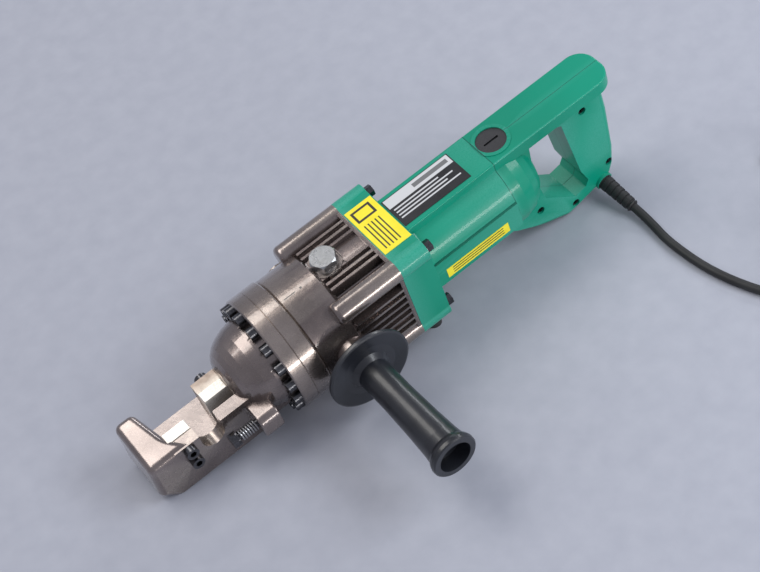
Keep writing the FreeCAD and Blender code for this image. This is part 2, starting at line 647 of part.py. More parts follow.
def make_handle_shells(cut_tools):
    body = handle_outer()
    posts = Part.makeCompound([cyl_y(5.0, -GRIP_HALF + 1, GRIP_HALF - 1, x, z) for x, z in SCREW_SPOTS])
    grip_room, cap_room, trigger_slot = handle_hollows()
    body = body.cut(grip_room.cut(posts)).cut(cap_room).cut(trigger_slot)
    body = body.cut(block(150.0, HOUSING_X1, -60.0, 60.0, -BAND_HALF, 60.0))
    for tool in cut_tools:
        body = body.cut(tool)
    near = body.common(block(150.0, 350.0, -80.0, 0.0, -120.0, 120.0))
    far = body.common(block(150.0, 350.0, 0.0, 80.0, -120.0, 120.0))
    return near, far


def make_handle_screws():
    """Recessed cross-head screws that hold the two shells together."""
    screws = []
    for x, z in SCREW_SPOTS:
        head = cyl_y(3.4, -14.2, -11.6, x, z)
        slots = [block(x - 2.4, x + 2.4, -15.0, -13.2, z - 0.5, z + 0.5),
                 block(x - 0.5, x + 0.5, -15.0, -13.2, z - 2.4, z + 2.4)]
        screws.append(head.fuse(cyl_y(1.6, -11.6, 11.0, x, z)).cut(Part.makeCompound(slots)))
    return Part.makeCompound(screws)


def screw_recesses():
    """Head recesses and shank holes of the shell screws."""
    return Part.makeCompound([cyl_y(3.4, -GRIP_HALF - 1, -11.6, x, z).fuse(cyl_y(1.6, -12.0, 11.0, x, z))
                              for x, z in SCREW_SPOTS])


def make_trigger():
    """Trigger blade at the top of the grip opening, hung on a cross pin."""
    outline = [(247.5, 33.8), (247.5, 24.0), (249.5, 18.5), (254.0, 15.8), (262.0, 15.6), (266.6, 18.0),
               (266.6, 30.8), (257.0, 31.5), (253.5, 33.8)]
    blade = slab_xz(outline, -6.0, 6.0)
    blade = round_edges(blade, 1.5, lambda c: abs(abs(c.y) - 6.0) < 0.01 and c.z < 28.0)
    return blade.cut(cyl_y(1.56, -7.0, 7.0, PIVOT_X, PIVOT_Z))


def make_trigger_pin():
    return cyl_y(1.5, -14.0, 14.0, PIVOT_X, PIVOT_Z)


def make_switch():
    """Switch body inside the grip, with its plunger towards the trigger."""
    return fuse([block(276.5, 300.0, -10.0, 10.0, -8.0, 15.5), cyl_x(2.5, 269.0, 277.0, 0.0, 10.0)])


# ---- brush gear ---------------------------------------------------------------------------------

def make_brushes():
    """Carbon brushes, a hair clear of the commutator."""
    return Part.makeCompound([block(BRUSH_X - 4, BRUSH_X + 4, -3.0, 3.0, 13.3, 26.0),
                              block(BRUSH_X - 4, BRUSH_X + 4, -3.0, 3.0, -26.0, -13.3)])


def make_brush_holders(brushes):
    holders = Part.makeCompound([cyl_z(7.6, 14.6, 35.0, BRUSH_X, 0.0),
                                 cyl_z(7.6, -34.0, -14.6, BRUSH_X, 0.0)])
    wells = Part.makeCompound([block(BRUSH_X - 4, BRUSH_X + 4, -3.0, 3.0, 14.0, 33.0),
                               block(BRUSH_X - 4, BRUSH_X + 4, -3.0, 3.0, -32.5, -14.0)])
    return holders.cut(wells).cut(brushes)


def make_brush_caps():
    """Round caps over the brushes; each has a coin slot."""
    top = cyl_z(12.0, 35.0, TOP_Z - 0.4, BRUSH_X, 0.0)
    top = top.cut(block(BRUSH_X - 6.5, BRUSH_X + 6.5, -0.9, 0.9, TOP_Z - 2.0, TOP_Z + 1))
    bottom = cyl_z(9.0, -38.4, -34.0, BRUSH_X, 0.0)
    bottom = bottom.cut(block(BRUSH_X - 6.0, BRUSH_X + 6.0, -0.9, 0.9, -39.0, -37.0))
    return Part.makeCompound([top, bottom])


def brush_openings():
    return fuse([cyl_z(7.6, 14.0, 35.1, BRUSH_X, 0.0), cyl_z(12.0, 35.0, 60.0, BRUSH_X, 0.0),
                 cyl_z(7.6, -34.1, -14.0, BRUSH_X, 0.0), cyl_z(9.0, -60.0, -34.0, BRUSH_X, 0.0)])


# ---- side handle ----------------------------------------------------------------------------------

def make_side_handle():
    """Moulded grip with a round hand guard and an open, rimmed end."""
    profile = [(-50.0, 5.0), (-50.0, 12.5), (-56.0, 13.5), (-60.0, 18.0), (-61.8, 24.0), (-62.6, 32.4),
               (-64.2, 33.6), (-66.4, 33.6), (-67.0, 32.2), (-66.4, 22.0), (-67.0, 16.0), (-71.0, 12.6),
               (-100.0, 12.6), (-130.0, 13.6), (-150.0, 14.7), (-158.0, 15.6), (-161.0, 17.4),
               (-163.5, 18.1), (-166.0, 17.9), (GRIP_END_Y, 17.0), (GRIP_END_Y, 12.8), (-155.0, 12.0),
               (-155.0, 0.0), (-95.0, 0.0), (-95.0, 5.0)]
    return lathe_y(profile, SIDE_X, 0.0)


def make_side_stud():
    return cyl_y(5.0, -95.0, -36.5, SIDE_X, 0.0)


# ---- labels -----------------------------------------------------------------------------------------

def make_flange_label():
    return block(98.2, 122.2, -25.8, 25.8, FLANGE_HALF_Z, FLANGE_HALF_Z + 0.3)


def make_rating_plate():
    return block(124.2, 185.5, -15.2, 15.2, TOP_Z, TOP_Z + 0.4)


def make_side_label():
    return block(132.8, 191.0, -BAND_HALF - 0.3, -BAND_HALF, -10.0, -0.4)


# ---- mains lead -------------------------------------------------------------------------------------

def make_cord_guard():
    """Tapered, ribbed rubber sleeve that keeps the lead from kinking at the handle."""
    ribs = 6
    profile = [(0.0, 0.0), (0.0, 6.6)]
    for i in range(ribs):
        start = 6.0 + i * 5.4
        radius = 6.5 - 1.1 * i / (ribs - 1)
        profile += [(start, radius), (start + 3.6, radius - 0.1), (start + 3.9, radius - 0.9),
                    (start + 5.1, radius - 0.9)]
    profile += [(GUARD_LENGTH - 0.8, 5.2), (GUARD_LENGTH, 4.6), (GUARD_LENGTH, 0.0)]
    face = polygon_face([Vector(r, 0, s) for s, r in profile])
    guard = face.revolve(Vector(0, 0, 0), Vector(0, 0, 1), 360)
    guard.Placement = Placement(GUARD_BASE, Rotation(Vector(0, 0, 1), GUARD_WAY))
    return guard


def bent_tube(points):
    """A tube of straight runs joined by tangent arcs, each arc as large as its two runs allow."""
    edges = []
    start = points[0]
    for before, corner, after in zip(points, points[1:], points[2:]):
        into = (corner - before).normalize()
        out = (after - corner).normalize()
        turn = into.getAngle(out)
        reach = 0.45 * min(corner.distanceToPoint(before), corner.distanceToPoint(after))
        radius = reach / math.tan(turn / 2)
        toward_centre = (out - into).normalize()
        middle = corner + toward_centre * (radius / math.cos(turn / 2) - radius)
        print(f"cord corner turns {math.degrees(turn):.1f} degrees at radius {radius:.1f}")
        edges.append(Part.LineSegment(start, corner - into * reach).toShape())
        edges.append(Part.Arc(corner - into * reach, middle, corner + out * reach).toShape())
        start = corner + out * reach
    edges.append(Part.LineSegment(start, points[-1]).toShape())
    path = Part.Wire(edges)
    section = Part.Wire(Part.makeCircle(CORD_R, points[0], points[1] - points[0]))
    tube = path.makePipeShell([section], True, False)
    swept = path.Length * math.pi * CORD_R ** 2
    print(f"cord length {path.Length:.1f} volume {tube.Volume:.0f} against {swept:.0f}")
    return tube


def tail_start():
    """Where the lead leaves the coil, and the level direction it leaves in."""
    angle = math.radians(TAIL_DEG)
    start = Vector(COIL_X + COIL_OUTER_TURN_R * math.cos(angle), COIL_Y + COIL_OUTER_TURN_R * math.sin(angle),
                   FLOOR_Z + CORD_R * 2 * (COIL_LAYERS - 1))
    return start, Vector(-math.sin(angle), math.cos(angle), 0)


def make_cord():
    """The lead from its sleeve to the coil, and from the coil to the plug."""
    guard_end = floor_from_tool().multVec(GUARD_BASE + GUARD_WAY * GUARD_LENGTH)
    lead = bent_tube([guard_end] + [Vector(*point) for point in CORD_ROUTE])
    start, way = tail_start()
    return Part.makeCompound([lead, Part.makeCylinder(CORD_R, TAIL_LENGTH, start, way)])


def make_coil():
    """Outer shape of the wound-up length of lead, lying on the floor."""
    outer = COIL_OUTER_TURN_R + CORD_R
    inner = COIL_OUTER_TURN_R - CORD_R * 2 * COIL_TURNS / COIL_LAYERS - CORD_R
    top = FLOOR_Z + CORD_R * (2 * COIL_LAYERS - 1)
    return cyl_z(outer, 0.1, top, COIL_X, COIL_Y).cut(cyl_z(inner, -1.0, top + 1, COIL_X, COIL_Y))


def on_tail(shape):
    """Moves a shape drawn along +X from the origin to the end of the lead's tail."""
    start, way = tail_start()
    shape.Placement = Placement(start + way * TAIL_LENGTH, Rotation(Vector(1, 0, 0), way))
    return shape


def make_plug_body():
    """Moulded two-pin plug with a tapered sleeve."""
    sleeve = lathe_x([(0.0, 0.0), (0.0, 5.0), (18.0, 7.6), (19.0, 0.0)])
    grip = rounded_plate(18.0, 52.0, 15.5, PLUG_HALF_THICK, 8.0)
    return on_tail(fuse([sleeve, grip]))


def make_plug_pins():
    pins = []
    for y in (-9.5, 9.5):
        pin = cyl_x(2.4, 48.0, 71.0, y, 0.0)
        pins.append(pin.makeFillet(1.2, [e for e in pin.Edges if e.CenterOfMass.x > 70.9]))
    return on_tail(Part.makeCompound(pins))


def make_stop_spring():
    return coil_spring(4.1, 0.7, 14.6, 7, Vector(-59.3, STOP_Y, STOP_Z), BACK)


def tool_from_floor():
    """Where the floor frame lies in the tool's own frame."""
    return floor_from_tool().inverse()


def floor_from_tool():
    """Tips the tool nose-down, lifts it on to the floor and centres it on the origin."""
    tilt = Placement(Vector(0, 0, 0), Rotation(Vector(0, 1, 0), -TILT_DEG))
    return Placement(Vector(-CENTRE_X, -CENTRE_Y, LIFT), Rotation()).multiply(tilt)


def build_tool():
    head_bolts = make_head_bolts()
    case_bolts = make_case_bolts()
    fixed_screws = make_fixed_block_screws()
    moving_screws = make_moving_block_screws()
    plug = make_fill_plug()
    stud = make_side_stud()
    brushes = make_brushes()
    guard = make_cord_guard()
    gripped = [brush_openings(), screw_recesses(), make_trigger_pin(), guard]
    near_shell, far_shell = make_handle_shells(gripped)
    return {
        "head_casting": make_head(head_bolts, fixed_screws),
        "head_bolts": head_bolts,
        "fixed_cutter_block": make_block(FIXED_X, WALL_Y).cut(fixed_screws),
        "fixed_block_screws": fixed_screws,
        "moving_cutter_block": make_block(MOVING_X, 4.4 - BLOCK_THICK).cut(moving_screws),
        "moving_block_screws": moving_screws,
        "stop_bolt": make_stop_bolt(),
        "stop_spring": make_stop_spring(),
        "cylinder": make_cylinder(head_bolts),
        "ram": make_ram(moving_screws),
        "piston_seal": make_piston_seal(),
        "rod_wiper": make_rod_wiper(),
        "return_spring": make_return_spring(),
        "pump_case": make_pump_case(head_bolts, case_bolts, plug, stud),
        "fill_plug": plug,
        "plug_washer": make_plug_washer(),
        "oil_bladder": make_oil_bladder(),
        "pump_block": make_pump_block(),
        "pump_plungers": make_plungers(),
        "plunger_springs": make_plunger_springs(),
        "pump_shaft": make_pump_shaft(),
        "eccentric_bearing": make_eccentric_bearing(),
        "drive_gear": make_drive_gear(),
        "pump_bearings": make_pump_bearings(),
        "gear_plate": make_gear_plate(),
        "armature_shaft": make_armature_shaft(),
        "armature_core": make_armature_core(),
        "armature_windings": make_armature_windings(),
        "commutator": make_commutator(),
        "fan": make_fan(),
        "motor_bearings": make_motor_bearings(),
        "stator_core": make_stator_core(),
        "field_coils": make_field_coils(),
        "motor_housing": make_motor_housing(case_bolts),
        "case_bolts": case_bolts,
        "rubber_feet": make_rubber_feet(),
        "handle_near_shell": near_shell,
        "handle_far_shell": far_shell,
        "handle_screws": make_handle_screws(),
        "trigger": make_trigger(),
        "trigger_pin": make_trigger_pin(),
        "switch": make_switch(),
        "brushes": brushes,
        "brush_holders": make_brush_holders(brushes),
        "brush_caps": make_brush_caps(),
        "side_handle": make_side_handle(),
        "side_handle_stud": stud,
        "warning_label": make_flange_label(),
        "rating_plate": make_rating_plate(),
        "side_label": make_side_label(),
        "cord_guard": guard,
    }


def build_lead():
    pins = make_plug_pins()
    return {
        "cord": make_cord(),
        "cord_coil": make_coil(),
        "plug_body": make_plug_body().cut(pins),
        "plug_pins": pins,
    }


def save(name, shape):
    box = shape.optimalBoundingBox(False)
    print(f"{name:22s} solids {len(shape.Solids):2d} valid {shape.isValid()} "
          f"volume {shape.Volume / 1000:8.2f} cm3 X {box.XMin:.1f}..{box.XMax:.1f} "
          f"Y {box.YMin:.1f}..{box.YMax:.1f} Z {box.ZMin:.1f}..{box.ZMax:.1f}")
    shape.exportStep(f"parts/{name}.step")


def main():
    for name, shape in build_tool().items():
        shape.Placement = floor_from_tool().multiply(shape.Placement)
        save(name, shape)
    for name, shape in build_lead().items():
        save(name, shape)


main()
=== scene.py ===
import bmesh
import bpy
import json
import math
from mathutils import Matrix, Vector


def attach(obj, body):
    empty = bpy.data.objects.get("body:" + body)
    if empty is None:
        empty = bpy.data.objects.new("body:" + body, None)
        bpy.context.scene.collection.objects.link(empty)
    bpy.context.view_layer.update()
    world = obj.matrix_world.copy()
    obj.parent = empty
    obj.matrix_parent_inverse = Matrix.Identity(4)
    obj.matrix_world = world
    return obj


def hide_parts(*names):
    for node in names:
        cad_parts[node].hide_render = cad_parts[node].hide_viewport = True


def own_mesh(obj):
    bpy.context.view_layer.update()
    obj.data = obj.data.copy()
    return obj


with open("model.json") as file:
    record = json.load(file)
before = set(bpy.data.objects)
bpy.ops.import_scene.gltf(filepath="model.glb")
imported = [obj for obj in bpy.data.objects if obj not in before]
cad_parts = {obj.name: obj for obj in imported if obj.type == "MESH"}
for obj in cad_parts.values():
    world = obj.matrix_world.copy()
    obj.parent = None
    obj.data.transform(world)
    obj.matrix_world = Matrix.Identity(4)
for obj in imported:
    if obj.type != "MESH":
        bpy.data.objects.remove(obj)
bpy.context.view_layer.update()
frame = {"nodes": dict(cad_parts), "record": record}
NODES = frame["nodes"]

# Rebar cutter resting on its nose and rubber feet. Metres, in the floor frame of the CAD.
TILT = math.radians(6.0)
LIFT = 0.04954
CENTRE_X = 0.0937
CENTRE_Y = -0.0585

# Camera: target on the tool, distance, direction and roll.
TARGET = Vector((0.0014, 0.0585, 0.041))
DISTANCE = 1.4112
AZIMUTH = math.radians(-24.84)
ELEVATION = math.radians(50.0)
ROLL = math.radians(-14.4)
LENS_MM = 90.0

# The lead: its route on the floor, then its coil and tail, as in the CAD.
CORD_R = 0.0035
FLOOR_Z = 0.0036
CORD_ROUTE = [(0.2063, -0.0042, FLOOR_Z), (0.2022, -0.033, FLOOR_Z), (0.2072, -0.082, FLOOR_Z),
              (0.2278, -0.1313, FLOOR_Z)]
GUARD_BASE = Vector((0.290, -0.008, -0.0646))
GUARD_WAY = Vector((0.06, -0.96, -0.22)).normalized()
GUARD_LENGTH = 0.040
COIL_CENTRE = Vector((0.2962, -0.132, 0.0))
COIL_OUTER_TURN_R = 0.0515
COIL_TURNS = 6.42
COIL_POINTS_PER_TURN = 16
TAIL_ANGLE = math.radians(11.7)
TAIL_LENGTH = 0.034

# The return spring round the rod, between its ends along the tool's axis.
SPRING_X0 = -0.0246
SPRING_X1 = 0.0223
SPRING_MEAN_R = 0.019
SPRING_WIRE_R = 0.0014
SPRING_TURNS = 8

# Half the width of the soft edge of a painted mark, in millimetres.
SOFT_EDGE_MM = 0.12


def floor_from_tool(point):
    """A point given along the tool's own axis, in the floor frame."""
    x = point.x * math.cos(TILT) - point.z * math.sin(TILT) - CENTRE_X
    z = point.x * math.sin(TILT) + point.z * math.cos(TILT) + LIFT
    return Vector((x, point.y - CENTRE_Y, z))


# ---- camera, floor and light -----------------------------------------------------------------

def make_camera():
    back = Vector((math.sin(AZIMUTH) * math.cos(ELEVATION), -math.cos(AZIMUTH) * math.cos(ELEVATION),
                   math.sin(ELEVATION)))
    level_right = Vector((math.cos(AZIMUTH), math.sin(AZIMUTH), 0.0))
    level_up = back.cross(level_right)
    right = level_right * math.cos(ROLL) + level_up * math.sin(ROLL)
    up = level_up * math.cos(ROLL) - level_right * math.sin(ROLL)
    data = bpy.data.cameras.new("camera")
    data.lens = LENS_MM
    data.clip_start = 0.05
    camera = bpy.data.objects.new("camera", data)
    turn = Matrix((right, up, back)).transposed().to_4x4()
    camera.matrix_world = Matrix.Translation(TARGET + back * DISTANCE) @ turn
    bpy.context.scene.collection.objects.link(camera)
    bpy.context.scene.camera = camera


def make_floor():
    mesh = bpy.data.meshes.new("studio_floor")
    shape = bmesh.new()
    bmesh.ops.create_grid(shape, x_segments=8, y_segments=8, size=4.0)
    shape.to_mesh(mesh)
    shape.free()
    floor = bpy.data.objects.new("studio_floor", mesh)
    bpy.context.scene.collection.objects.link(floor)
    paint = Paint("studio_paper")
    grain = paint.noise(60.0, 3.0)
    paint.colour(paint.ramp(grain, [(0.3, FLOOR_DARK), (0.7, FLOOR_LIGHT)]))
    paint.bsdf.inputs["Roughness"].default_value = 0.9
    paint.bsdf.inputs["Specular IOR Level"].default_value = 0.1
    mesh.materials.append(paint.material)


def area_light(name, place, aim, size, power, tint):
    data = bpy.data.lights.new(name, "AREA")
    data.shape = "RECTANGLE"
    data.size, data.size_y = size
    data.energy = power
    data.color = tint
    lamp = bpy.data.objects.new(name, data)
    lamp.location = place
    lamp.rotation_euler = (Vector(aim) - Vector(place)).to_track_quat("-Z", "Y").to_euler()
    bpy.context.scene.collection.objects.link(lamp)


def make_light():
    world = bpy.data.worlds.new("studio")
    world.use_nodes = True
    sky = world.node_tree.nodes["Background"]
    sky.inputs["Color"].default_value = (0.62, 0.64, 0.74, 1.0)
    sky.inputs["Strength"].default_value = 0.58
    bpy.context.scene.world = world
    middle = (0.0, 0.03, 0.05)
    area_light("key_softbox", (-0.55, 0.70, 1.60), middle, (1.3, 0.9), 15.5, (1.0, 0.97, 0.92))
    area_light("side_softbox", (0.95, -0.65, 1.10), middle, (1.0, 0.5), 11.0, (0.93, 0.96, 1.0))
    area_light("window_strip", (1.1, 0.9, 0.75), middle, (0.9, 0.16), 4.0, (0.96, 0.98, 1.0))
    area_light("low_strip", (0.45, -1.35, 0.30), middle, (1.0, 0.18), 8.0, (1.0, 0.99, 0.97))


# ---- materials -------------------------------------------------------------------------------

class Paint:
    """A principled material with short ways to add noise, masks and bumps."""

    def __init__(self, name):
        self.material = bpy.data.materials.new(name)
        self.material.use_nodes = True
        self.nodes = self.material.node_tree.nodes
        self.links = self.material.node_tree.links
        self.bsdf = self.nodes["Principled BSDF"]
        self.place = self.nodes.new("ShaderNodeTexCoord").outputs["Object"]
        self.last_normal = None

    def mapped(self, scale):
        node = self.nodes.new("ShaderNodeMapping")
        node.inputs["Scale"].default_value = scale
        self.links.new(self.place, node.inputs["Vector"])
        return node.outputs["Vector"]

    def tool_place(self):
        """Coordinates along the tool's own axis, in millimetres, as X, Y and Z outputs."""
        node = self.nodes.new("ShaderNodeMapping")
        shift_x = CENTRE_X * math.cos(TILT) - LIFT * math.sin(TILT)
        shift_z = -CENTRE_X * math.sin(TILT) - LIFT * math.cos(TILT)
        node.inputs["Location"].default_value = (shift_x * 1000, CENTRE_Y * 1000, shift_z * 1000)
        node.inputs["Rotation"].default_value = (0.0, TILT, 0.0)
        node.inputs["Scale"].default_value = (1000.0, 1000.0, 1000.0)
        self.links.new(self.place, node.inputs["Vector"])
        split = self.nodes.new("ShaderNodeSeparateXYZ")
        self.links.new(node.outputs["Vector"], split.inputs["Vector"])
        return split.outputs["X"], split.outputs["Y"], split.outputs["Z"]

    def noise(self, scale, detail=2.0, stretch=(1.0, 1.0, 1.0)):
        node = self.nodes.new("ShaderNodeTexNoise")
        node.inputs["Scale"].default_value = scale
        node.inputs["Detail"].default_value = detail
        self.links.new(self.mapped(stretch), node.inputs["Vector"])
        return node.outputs["Fac"]

    def math(self, operation, first, second=0.0):
        node = self.nodes.new("ShaderNodeMath")
        node.operation = operation
        for socket, value in zip(node.inputs, (first, second)):
            if isinstance(value, (int, float)):
                socket.default_value = value
            else:
                self.links.new(value, socket)
        return node.outputs["Value"]

    def near(self, value, centre, half):
        """1 where value is within half of centre, with a soft edge."""
        gap = self.math("ABSOLUTE", self.math("SUBTRACT", value, centre))
        edge = self.nodes.new("ShaderNodeMapRange")
        edge.interpolation_type = "SMOOTHSTEP"
        limits = {"From Min": half + SOFT_EDGE_MM, "From Max": half - SOFT_EDGE_MM,
                  "To Min": 0.0, "To Max": 1.0}
        for name, number in limits.items():
            edge.inputs[name].default_value = number
        self.links.new(gap, edge.inputs["Value"])
        return edge.outputs["Result"]

    def box(self, pairs):
        """1 inside every (value, low, high) of pairs."""
        mask = 1.0
        for value, low, high in pairs:
            mask = self.math("MULTIPLY", self.near(value, (low + high) / 2, (high - low) / 2), mask)
        return mask

    def either(self, masks):
        total = 0.0
        for mask in masks:
            total = self.math("MAXIMUM", mask, total)
        return total

    def ramp(self, value, stops):
        node = self.nodes.new("ShaderNodeValToRGB")
        node.color_ramp.elements[0].position = stops[0][0]
        node.color_ramp.elements[0].color = (*stops[0][1], 1.0)
        node.color_ramp.elements[1].position = stops[-1][0]
        node.color_ramp.elements[1].color = (*stops[-1][1], 1.0)
        for position, tint in stops[1:-1]:
            node.color_ramp.elements.new(position).color = (*tint, 1.0)
        self.links.new(value, node.inputs["Fac"])
        return node.outputs["Color"]

    def mix(self, mask, first, second):
        node = self.nodes.new("ShaderNodeMix")
        node.data_type = "RGBA"
        self.links.new(mask, node.inputs["Factor"])
        for socket, value in ((node.inputs["A"], first), (node.inputs["B"], second)):
            if isinstance(value, tuple):
                socket.default_value = (*value, 1.0)
            else:
                self.links.new(value, socket)
        return node.outputs["Result"]

    def colour(self, value):
        self.links.new(value, self.bsdf.inputs["Base Color"])

    def roughness(self, value, low, high):
        node = self.nodes.new("ShaderNodeMapRange")
        node.inputs["To Min"].default_value = low
        node.inputs["To Max"].default_value = high
        self.links.new(value, node.inputs["Value"])
        self.links.new(node.outputs["Result"], self.bsdf.inputs["Roughness"])

    def bump(self, height, depth, strength=1.0):
        node = self.nodes.new("ShaderNodeBump")
        node.inputs["Distance"].default_value = depth
        node.inputs["Strength"].default_value = strength
        self.links.new(height, node.inputs["Height"])
        if self.last_normal:
            self.links.new(self.last_normal, node.inputs["Normal"])
        self.last_normal = node.outputs["Normal"]
        self.links.new(self.last_normal, self.bsdf.inputs["Normal"])

    def coat(self, weight, roughness):
        self.bsdf.inputs["Coat Weight"].default_value = weight
        self.bsdf.inputs["Coat Roughness"].default_value = roughness

    def worn_edges(self, base, tint, amount):
        """Lighter, rubbed colour on sharp outer edges."""
        shape = self.nodes.new("ShaderNodeNewGeometry").outputs["Pointiness"]
        scuffs = self.math("MULTIPLY", self.noise(900.0, 4.0), amount)
        mask = self.nodes.new("ShaderNodeMapRange")
        mask.inputs["From Min"].default_value = 0.53
        mask.inputs["From Max"].default_value = 0.62
        self.links.new(shape, mask.inputs["Value"])
        return self.mix(self.math("MULTIPLY", mask.outputs["Result"], scuffs), base, tint)


FLOOR_DARK = (0.385, 0.400, 0.460)
FLOOR_LIGHT = (0.415, 0.430, 0.490)
ENAMEL_DARK = (0.160, 0.128, 0.120)
ENAMEL_LIGHT = (0.268, 0.222, 0.208)
GREEN_DARK = (0.000, 0.240, 0.148)
GREEN_LIGHT = (0.000, 0.305, 0.192)


def enamel(name):
    """Glossy metallic bronze-grey paint over a slightly uneven casting."""
    paint = Paint(name)
    clouds = paint.noise(22.0, 3.0)
    base = paint.ramp(clouds, [(0.35, ENAMEL_DARK), (0.65, ENAMEL_LIGHT)])
    flakes = paint.math("GREATER_THAN", paint.noise(2600.0, 1.0), 0.66)
    base = paint.mix(paint.math("MULTIPLY", flakes, 0.25), base, (0.62, 0.55, 0.48))
    base = paint.worn_edges(base, (0.60, 0.53, 0.45), 0.8)
    paint.bsdf.inputs["Metallic"].default_value = 0.85
    paint.roughness(paint.noise(140.0, 3.0), 0.20, 0.34)
    paint.coat(0.9, 0.06)
    paint.bump(paint.noise(190.0, 4.0), 0.0006, 0.22)
    return paint, base


def head_enamel():
    paint, base = enamel("head_enamel")
    paint.colour(base)
    return paint.material


def cylinder_enamel():
    paint, base = enamel("cylinder_enamel")
    paint.colour(base)
    return paint.material


def case_enamel():
    """The same paint, with the engraved marks of the pump case."""
    paint, base = enamel("case_enamel")
    x, y, z = paint.tool_place()
    top = paint.math("GREATER_THAN", z, 30.0)
    square = paint.math("MAXIMUM", paint.math("ABSOLUTE", paint.math("SUBTRACT", x, 62.5)),
                        paint.math("ABSOLUTE", y))
    outline = paint.math("MULTIPLY", paint.near(square, 11.8, 0.22), top)
    dash = paint.box([(x, 22.0, 32.0), (y, -6.35, -5.65), (z, 30.0, 60.0)])
    dot_x = paint.math("SUBTRACT", x, 37.0)
    dot_y = paint.math("ADD", y, 6.0)
    reach = paint.math("ADD", paint.math("MULTIPLY", dot_x, dot_x), paint.math("MULTIPLY", dot_y, dot_y))
    dot = paint.math("MULTIPLY", paint.near(reach, 0.0, 0.8), top)
    seam = paint.box([(x, 18.5, 96.5), (z, -5.4, -4.9), (y, -60.0, -30.0)])
    marks = paint.either([outline, dash, dot, seam])
    paint.colour(paint.mix(marks, base, (0.03, 0.025, 0.022)))
    paint.bump(paint.math("SUBTRACT", 1.0, marks), 0.0005, 0.8)
    return paint.material


def green_plastic(name, seams):
    """Glossy moulded shell; seams is a function that gives the dark line mask."""
    paint = Paint(name)
    base = paint.ramp(paint.noise(9.0, 2.0), [(0.3, GREEN_DARK), (0.7, GREEN_LIGHT)])
    base = paint.worn_edges(base, (0.10, 0.45, 0.36), 0.7)
    lines = seams(paint)
    paint.colour(paint.mix(paint.math("MULTIPLY", lines, 0.6), base, (0.0, 0.028, 0.022)))
    paint.roughness(paint.noise(55.0, 4.0), 0.30, 0.42)
    paint.coat(0.2, 0.06)
    paint.bsdf.inputs["Specular IOR Level"].default_value = 0.3
    paint.bump(paint.noise(900.0, 2.0), 0.00008, 0.5)
    paint.bump(paint.math("SUBTRACT", 1.0, lines), 0.0004, 0.8)
    return paint.material


def housing_seams(paint):
    x, y, z = paint.tool_place()
    return paint.either([paint.box([(x, 124.0, 203.5), (z, 10.8, 11.2), (y, -60.0, -30.0)]),
                         paint.near(x, 123.4, 0.3)])


def handle_seams(paint):
    x, y, z = paint.tool_place()
    return paint.either([paint.near(y, 0.0, 0.18), paint.near(x, 203.2, 0.35)])


def metal(name, dark, light, roughness, scale, stretch=(1.0, 1.0, 1.0), grain=0.00004):
    """Bare or plated metal with fine machining marks."""
    paint = Paint(name)
    marks = paint.noise(scale, 4.0, stretch)
    base = paint.ramp(marks, [(0.3, dark), (0.7, light)])
    paint.colour(paint.worn_edges(base, tuple(min(1.0, c * 1.5 + 0.1) for c in light), 0.8))
    paint.bsdf.inputs["Metallic"].default_value = 0.95
    paint.roughness(paint.noise(scale * 0.4, 3.0), roughness - 0.07, roughness + 0.09)
    paint.bump(marks, grain, 0.6)
    return paint.material


def moulded(name, dark, light, roughness, grain_scale=1400.0, grain_depth=0.00012, coat=0.0):
    """Moulded plastic or rubber with a fine surface grain and faint handling marks."""
    paint = Paint(name)
    base = paint.ramp(paint.noise(45.0, 4.0), [(0.3, dark), (0.7, light)])
    paint.colour(paint.worn_edges(base, tuple(c * 2.2 + 0.02 for c in light), 0.6))
    paint.roughness(paint.noise(80.0, 4.0), roughness - 0.08, roughness + 0.08)
    paint.coat(coat, 0.15)
    paint.bump(paint.noise(grain_scale, 2.0), grain_depth, 0.5)
    return paint.material


def cutter_steel():
    paint = Paint("cutter_steel")
    marks = paint.noise(500.0, 4.0, (0.12, 1.0, 1.0))
    base = paint.ramp(marks, [(0.3, (0.34, 0.285, 0.235)), (0.7, (0.46, 0.395, 0.33))])
    paint.colour(paint.worn_edges(base, (0.95, 0.92, 0.86), 1.4))
    paint.bsdf.inputs["Metallic"].default_value = 0.45
    paint.roughness(paint.noise(300.0, 3.0), 0.26, 0.40)
    paint.bump(marks, 0.00003, 0.7)
    return paint.material


def ram_steel():
    """Cast and milled end of the ram, with the warm tint of the head around it."""
    paint = Paint("ram_steel")
    marks = paint.noise(260.0, 4.0)
    base = paint.ramp(marks, [(0.3, (0.27, 0.215, 0.18)), (0.7, (0.40, 0.33, 0.28))])
    paint.colour(paint.worn_edges(base, (0.80, 0.74, 0.66), 1.2))
    paint.bsdf.inputs["Metallic"].default_value = 0.7
    paint.roughness(paint.noise(160.0, 3.0), 0.28, 0.44)
    paint.bump(marks, 0.0001, 0.4)
    return paint.material


